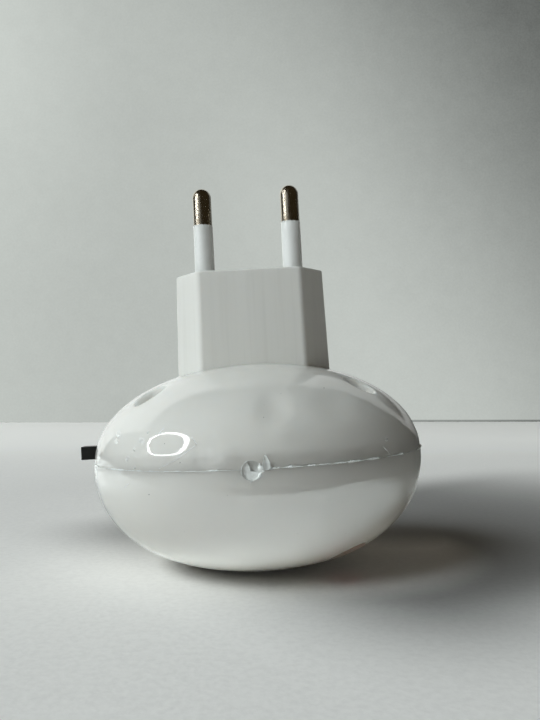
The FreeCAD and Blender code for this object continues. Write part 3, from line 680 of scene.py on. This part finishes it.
tornLook = {
    # all in millimetres: the port's middle across and up, and how far the film reaches in it
    "portMiddle": (-1.1, 22.45),
    "portReach": 1.72,
    # the film's torn edge, across and up, and its depth along Y
    "filmEdge": [(-1.63, 23.78), (-1.52, 23.35), (-1.36, 23.1), (-1.33, 22.7), (-1.2, 22.27), (0.05, 22.1)],
    "filmLevel": -33.45,
    "filmThickness": 0.14,
    # a whole skin closes the port behind the film
    "skinLevel": -32.75,
    # centre and half sizes of the lumps beside it
    "lumps": [
        ((0.5, -33.98, 22.75), (0.5, 0.24, 0.46)),
        ((0.85, -33.95, 22.35), (0.36, 0.22, 0.28)),
        ((0.35, -33.92, 23.3), (0.22, 0.16, 0.26)),
    ],
    # left, right, height and distance in front of the middle, from the clear leaf's foot to its tip
    "leaf": [
        (0.95, 1.85, 22.4, 33.95), (0.8, 2.15, 22.9, 34.05), (0.78, 2.18, 23.4, 34.10),
        (0.86, 2.05, 23.9, 34.08), (1.0, 1.8, 24.4, 34.0), (1.17, 1.52, 24.8, 33.92),
        (1.3, 1.36, 25.05, 33.86),
    ],
    "leafThickness": 0.10,
    "leafCurl": 0.20,
}


def fromFaces(name, made, material):
    mesh = bpy.data.meshes.new(name)
    made.to_mesh(mesh)
    made.free()
    mesh.materials.append(material)
    return mesh


def addPlate(made, outline, level, thickness):
    # a closed flat plate, its faces always made in the same order
    front, back = [
        [made.verts.new(mm((x, y, z))) for x, z in outline] for y in (level, level + thickness)
    ]
    made.faces.new(front)
    made.faces.new(back[::-1])
    for i in range(len(outline)):
        made.faces.new((front[i - 1], back[i - 1], back[i], front[i]))


def portFilm(look):
    # the film closes the port's left and lower part, with a torn edge
    (across, up), reach = look["portMiddle"], look["portReach"]
    edge = look["filmEdge"]
    start = math.atan2(edge[0][1] - up, edge[0][0] - across)
    end = math.atan2(edge[-1][1] - up, edge[-1][0] - across) + 2.0 * math.pi
    rim = [start + (end - start) * i / 40 for i in range(41)]
    whole = [i * math.pi / 24 for i in range(48)]

    def onRim(angles):
        return [(across + reach * math.cos(a), up + reach * math.sin(a)) for a in angles]

    made = bmesh.new()
    addPlate(made, onRim(rim) + edge[::-1], look["filmLevel"], look["filmThickness"])
    addPlate(made, onRim(whole), look["skinLevel"], look["filmThickness"])
    bmesh.ops.triangulate(made, faces=made.faces[:])
    bmesh.ops.recalc_face_normals(made, faces=made.faces[:])
    kept("port_film", fromFaces("port_film", made, flashWhite), False)


def tornLumps(look):
    made = bmesh.new()
    for centre, half in look["lumps"]:
        ball = bmesh.ops.create_icosphere(made, subdivisions=4, radius=1.0)
        for v in ball["verts"]:
            swell = 1.0 + 0.35 * noise.noise(v.co * 1.7 + Vector(centre)) + 0.12 * noise.noise(v.co * 5.0)
            v.co = Vector(mm([c + h * p * swell for c, h, p in zip(centre, half, v.co)]))
    kept("port_torn_lump", fromFaces("port_torn_lump", made, flashWhite))


def clearLeaf(look):
    # a curled leaf: its sides stand proud of its middle
    made = bmesh.new()
    rows = []
    for left, right, height, out in look["leaf"]:
        row = []
        for i in range(9):
            t = i / 8
            curl = look["leafCurl"] * (2.0 * t - 1.0) ** 2 * min(1.0, right - left)
            row.append(made.verts.new(mm((left + (right - left) * t, -(out + curl), height))))
        rows.append(row)
    for low, high in zip(rows, rows[1:]):
        for i in range(8):
            made.faces.new((low[i], low[i + 1], high[i + 1], high[i]))
    mesh = fromFaces("leafSheet", made, leafFinish(trimLook))
    sheet = bpy.data.objects.new("leafSheet", mesh)
    scene.collection.objects.link(sheet)
    thicken = sheet.modifiers.new("thicken", "SOLIDIFY")
    thicken.thickness = look["leafThickness"] * 0.001
    thicken.offset = 1.0
    rounding = sheet.modifiers.new("rounding", "SUBSURF")
    rounding.levels = 2
    rounding.render_levels = 2
    plain = bpy.data.meshes.new_from_object(sheet.evaluated_get(bpy.context.evaluated_depsgraph_get()))
    bpy.data.objects.remove(sheet)
    plain.name = "port_clear_leaf"
    kept("port_clear_leaf", plain)


def leafFinish(look):
    f = Finish("leafClear")
    cloud = f.noise(f.place(), 1200.0, 3.0)
    colour = f.blend(cloud, look["leafClear"], look["leafCloud"])
    shader = f.surface(
        baseColor=colour, roughness=0.06 + cloud * 0.1, ior=1.5, transmissionWeight=look["leafTransmission"],
        normal=f.bump(cloud * 0.00004, 1.0),
    )
    return f.done(shader)


portFilm(tornLook)
tornLumps(tornLook)
clearLeaf(tornLook)
print("torn plastic at the port made")


tableLook = {
    # the tilted table touches the small flat at its edge, 8.3 mm from the middle
    "touch": -0.0083 * math.sin(leanAngle),
    "size": 3.0,
    "white": (0.96, 0.94, 0.92, 1.0),
    "grey": (0.82, 0.80, 0.785, 1.0),
    # what the gloss of the dome shows of it, by place
    "mirroredLeft": (0.60, 0.61, 0.60, 1.0),
    "mirroredMiddle": (2.9, 2.92, 2.86, 1.0),
    "mirroredFarLeft": (1.9, 1.92, 1.9, 1.0),
    "mirroredBehindRight": (0.85, 0.85, 0.80, 1.0),
    "mirroredFarRight": (0.14, 0.14, 0.125, 1.0),
    "mirroredNearLeft": (0.42, 0.43, 0.42, 1.0),
    "mirroredNear": (0.12, 0.115, 0.105, 1.0),
    # the way the painted soft shadow falls, its middle under the dome, and how dark it is
    "shadeWay": (0.77, 0.64),
    "shadeMiddle": (0.012, 0.008, 0.0),
    "paintedShadowDepth": 0.72,
    "glow": (0.95, 1.0, 0.96, 1.0),
}
wallLook = {
    # distance behind the light and height in metres, then grey levels and colours
    "gap": 0.71,
    "top": 2.4,
    "grey": 0.49,
    "shade": 0.42,
    "tint": (0.97, 1.03, 0.975),
    "mirrored": (0.97, 1.0, 0.97, 1.0),
    "bounce": (0.24, 0.20, 0.16, 1.0),
}


def sheetObject(name, corners, material):
    mesh = bpy.data.meshes.new(name)
    mesh.from_pydata([tuple(c) for c in corners], [], [(0, 1, 2, 3)])
    mesh.materials.append(material)
    sheet = bpy.data.objects.new(name, mesh)
    scene.collection.objects.link(sheet)
    return sheet


def tableFinish(look):
    f = Finish("tablePaper")
    place = f.place()
    x, y = f.split(place)[:2]
    cameraRay, glossyRay = f.rays()
    fibre = f.noise(place, 900.0, 4.0, 0.6)
    cloud = f.noise(place, 9.0, 3.0)
    mottled = f.ramp(fibre, 0.3, 0.8) * 0.5 + f.ramp(cloud, 0.3, 0.8) * 0.3
    colour = f.blend(mottled, look["white"], look["grey"])
    # in the gloss of the dome the near part of the table is dark
    nearEdge = y - x * x * 3.0 + 0.065
    near = f.ramp(nearEdge, -0.004, 0.004, 1.0, 0.0)
    bright = f.blend(f.ramp(x, -0.035, 0.012), look["mirroredLeft"], look["mirroredMiddle"])
    bright = f.blend(f.ramp(x, -0.11, -0.05, 1.0, 0.0), bright, look["mirroredFarLeft"])
    behindRight = f.ramp(x, 0.0, 0.04) * f.ramp(y, -0.015, 0.02)
    bright = f.blend(behindRight, bright, look["mirroredBehindRight"])
    bright = f.blend(f.ramp(x, 0.05, 0.12), bright, look["mirroredFarRight"])
    dark = f.blend(f.ramp(x, -0.10, 0.0), look["mirroredNearLeft"], look["mirroredNear"])
    mirrored = f.blend(near, bright, dark)
    # painted shadow: the table is darkened where the wide window would leave a softer, longer shadow than one
    # lamp does
    wayX, wayY = look["shadeWay"]
    along, across = x * wayX + y * wayY, f.maths("ABSOLUTE", y * wayX - x * wayY)
    reach = f.vector("DISTANCE", f.join(x, y, 0.0), look["shadeMiddle"], out=1)
    shade = f.ramp(along, -0.035, 0.005) * f.ramp(along, 0.085, 0.24, 1.0, 0.0)
    shade = shade * f.ramp(across, 0.040, 0.078, 1.0, 0.0)
    # the painted shadow is lighter right under the dome, where the lamp's real shadow is dark already
    shade = shade * f.maths("MAXIMUM", f.ramp(reach, 0.026, 0.040, 0.3, 1.0), f.ramp(y, 0.0, 0.03))
    # for all but the camera the painted shadow is left out at the left, so the table still lights the dome
    # there
    shade = shade * f.maths("MAXIMUM", cameraRay, f.ramp(x, 0.015, 0.045))
    colour = f.blend(shade * look["paintedShadowDepth"], colour, (0.0, 0.0, 0.0, 1.0))
    colour = f.blend(glossyRay, colour, mirrored)
    grain = f.bump(fibre * 0.00004, 1.0)
    paper = f.surface(baseColor=colour, roughness=0.8, specularIorLevel=0.1, normal=grain)
    # painted light: further back the table is made brighter for the camera, as if it lay in more of the
    # window's light
    away = f.ramp(f.vector("DISTANCE", place, (0.0, 0.0, 0.0), out=1), 0.8, 2.6) * 0.35
    paintedLightLevel = (0.01 + f.ramp(y, 0.10, 0.40) * 0.16 + away) * cameraRay
    glow = f.emission(look["glow"], paintedLightLevel)
    return f.done(f.node("ShaderNodeAddShader", None, {0: paper, 1: glow}))


def wallFinish(look):
    f = Finish("wallPaper")
    place = f.place()
    x, z = f.split(place)[::2]
    cameraRay, glossyRay = f.rays()
    fibre = f.noise(place, 420.0, 4.0, 0.6)
    cloud = f.noise(place, 5.0, 2.0)
    # a soft shade lies over the upper right
    shade = f.ramp(x + (z - 0.05) * 0.6, 0.12, 0.72) * f.ramp(x, 0.75, 1.3, 1.0, 0.2)
    # painted light: the seen wall is a little lighter at the far left and right of the middle, and more so at
    # the upper left
    grey = look["grey"] + f.ramp(x, -0.36, -0.14, 0.04, 0.0) + f.ramp(x, -0.1, 0.15, 0.0, 0.06)
    grey = grey - shade * look["shade"]
    grey = grey + f.ramp(x, -0.36, -0.12, 1.0, 0.0) * f.ramp(z, 0.1, 0.5) * 0.09
    grey = grey + (fibre - 0.5) * 0.07 + (cloud - 0.5) * 0.05 + (f.noise(place, 60.0, 3.0) - 0.5) * 0.035
    # painted shade: a thin dark line in the gap between wall and table at the right
    level = x * math.sin(leanAngle) + z * math.cos(leanAngle)
    grey = grey - f.ramp(level, 0.0016, 0.0026, 0.26, 0.0) * f.ramp(x, 0.1, 0.16)
    tint = f.node("ShaderNodeCombineColor", None, {i: grey * v for i, v in enumerate(look["tint"])})
    seen = f.node("ShaderNodeEmission", None, {"Color": tint, "Strength": 1.0})
    # in the gloss it is bright only where the window's light falls: below a sloping ceiling
    ceiling = z - f.maths("MAXIMUM", -0.4 - x, 0.0) * 0.5
    lit = f.ramp(ceiling, 0.98, 1.02, 1.0, 0.0) * f.ramp(x + z, 1.43, 1.47, 1.0, 0.0)
    # round a darker patch behind the light
    patch = f.ramp(x, 0.0, 0.04) * f.ramp(x, 0.6, 0.64, 1.0, 0.0)
    patch = patch * f.ramp(z, 0.2, 0.24) * f.ramp(z, 0.42, 0.46, 1.0, 0.0)
    lit = lit * (1.0 - patch * 0.85)
    # between a slanting edge at the right and one at the left, and dimmer low down
    lit = lit * f.ramp(x - f.maths("MINIMUM", z, 0.27) * 1.4, 0.42, 0.45, 1.0, 0.0)
    lit = lit * f.ramp(x + z, -0.58, -0.54) * f.ramp(x, -0.1, 0.3, 0.85, 0.5)
    lit = lit * f.maths("MAXIMUM", f.ramp(z, 0.02, 0.16, 0.2, 1.0), f.ramp(x, -0.1, 0.0, 1.0, 0.0))
    mirrored = f.emission(look["mirrored"], 0.03 + lit)
    plain = f.node("ShaderNodeBsdfDiffuse", None, {"Color": look["bounce"]})
    behind = f.node("ShaderNodeMixShader", None, {0: glossyRay, 1: plain, 2: mirrored})
    return f.done(f.node("ShaderNodeMixShader", None, {0: cameraRay, 1: behind, 2: seen}))


def placeTable(look, wall):
    s, lift = look["size"], look["touch"]
    flat = [(-s, -s, lift), (s, -s, lift), (s, s, lift), (-s, s, lift)]
    sheetObject("table", [leanTurn @ Vector(c) for c in flat], tableFinish(look))
    # the wall goes down a little past the table
    gap, foot, top = wall["gap"], lift - 0.01, wall["top"]
    upright = [(-s, gap, foot), (s, gap, foot), (s, gap, top), (-s, gap, top)]
    sheetObject("wall", [leanTurn @ Vector(c) for c in upright], wallFinish(wall))


lampLook = {
    # direction in degrees, then its distance and size in metres
    "azimuth": -116.0,
    "height": 37.0,
    "gap": 3.0,
    "width": 2.4,
    "tallness": 1.2,
    "level": 1.01,
    "colour": (0.885, 0.975, 1.0),
}
ringLook = {
    # the spot of the dome that shows the ring, and the way from there to the ring
    "spot": (-0.0154, -0.0291, 0.0273),
    "way": (-0.804, -0.261, 0.534),
    "gap": 0.5,
    # half width and half height of each oval, and how far it is off the middle
    "outer": (0.143, 0.124, 0.003, 0.002),
    "inner": (0.117, 0.100, -0.005, -0.003),
    "count": 96,
    "colour": (1.0, 1.0, 1.0, 1.0),
    "level": 9.0,
}
windowLook = {
    # corners as azimuth and height in degrees
    "corners": ((-92, -10), (-157, -10), (-157, 20), (-92, 20)),
    "gap": 1.6,
    "colour": (0.98, 1.0, 0.97, 1.0),
    "level": 0.35,
}
roomLook = {
    "colour": (1.0, 0.76, 0.40, 1.0),
    "level": 0.026,
    "seenColour": (0.72, 0.75, 0.72, 1.0),
    "seenLevel": 0.75,
}


def toward(azimuth, height):
    # azimuth from +Y towards +X, height above the table
    a, h = math.radians(azimuth), math.radians(height)
    flat = Vector((math.sin(a) * math.cos(h), math.cos(a) * math.cos(h), math.sin(h)))
    return leanTurn.to_3x3() @ flat


def placeLamp(look):
    data = bpy.data.lights.new("windowLight", "AREA")
    data.shape = "RECTANGLE"
    data.size = look["width"]
    data.size_y = look["tallness"]
    data.color = look["colour"]
    data.energy = look["level"] * math.pi * math.pi * look["gap"] ** 2
    lamp = bpy.data.objects.new("windowLight", data)
    direction = toward(look["azimuth"], look["height"])
    turn = direction.to_track_quat("Z", "Y").to_matrix().to_4x4()
    lamp.matrix_world = Matrix.Translation(direction * look["gap"]) @ turn
    lamp.visible_glossy = False
    lamp.visible_camera = False
    scene.collection.objects.link(lamp)


def glowFinish(name, look):
    f = Finish(name)
    return f.done(f.node("ShaderNodeEmission", None, {"Color": look["colour"], "Strength": look["level"]}))


def onlyInGloss(thing):
    for ray in ("camera", "diffuse", "shadow", "transmission", "volume_scatter"):
        setattr(thing, "visible_" + ray, False)


def placeRing(look):
    # an oval ring with a thicker side, seen only in the gloss
    direction = Vector(look["way"]).normalized()
    side = trueUp.cross(direction).normalized()
    up = direction.cross(side)
    centre = Vector(look["spot"]) + direction * look["gap"]
    count = look["count"]
    points = []
    for wide, tall, aside, above in (look["outer"], look["inner"]):
        for i in range(count):
            t = 2.0 * math.pi * i / count
            points.append(centre + side * (wide * math.cos(t) + aside) + up * (tall * math.sin(t) + above))
    mesh = bpy.data.meshes.new("ringGlow")
    faces = [(i, (i + 1) % count, count + (i + 1) % count, count + i) for i in range(count)]
    mesh.from_pydata([tuple(p) for p in points], [], faces)
    mesh.materials.append(glowFinish("ringGlow", look))
    ring = bpy.data.objects.new("ringGlow", mesh)
    scene.collection.objects.link(ring)
    onlyInGloss(ring)


def placeWindow(look):
    # a low, wide pane, seen only in the gloss
    corners = [toward(azimuth, height) * look["gap"] for azimuth, height in look["corners"]]
    onlyInGloss(sheetObject("windowPanel", corners, glowFinish("windowGlow", look)))


def lightRoom(look):
    world = bpy.data.worlds.new("room")
    scene.world = world
    world.use_nodes = True
    world.node_tree.nodes.clear()
    m = Maker(world.node_tree)
    cameraRay = m.rays()[0]
    room = m.node("ShaderNodeBackground", None, {"Color": look["colour"], "Strength": look["level"]})
    seen = {"Color": look["seenColour"], "Strength": look["seenLevel"]}
    pale = m.node("ShaderNodeBackground", None, seen)
    both = m.node("ShaderNodeMixShader", None, {0: cameraRay, 1: room, 2: pale})
    m.node("ShaderNodeOutputWorld", None, {"Surface": both})


placeTable(tableLook, wallLook)
placeLamp(lampLook)
placeRing(ringLook)
placeWindow(windowLook)
lightRoom(roomLook)
print("table, wall and light placed")
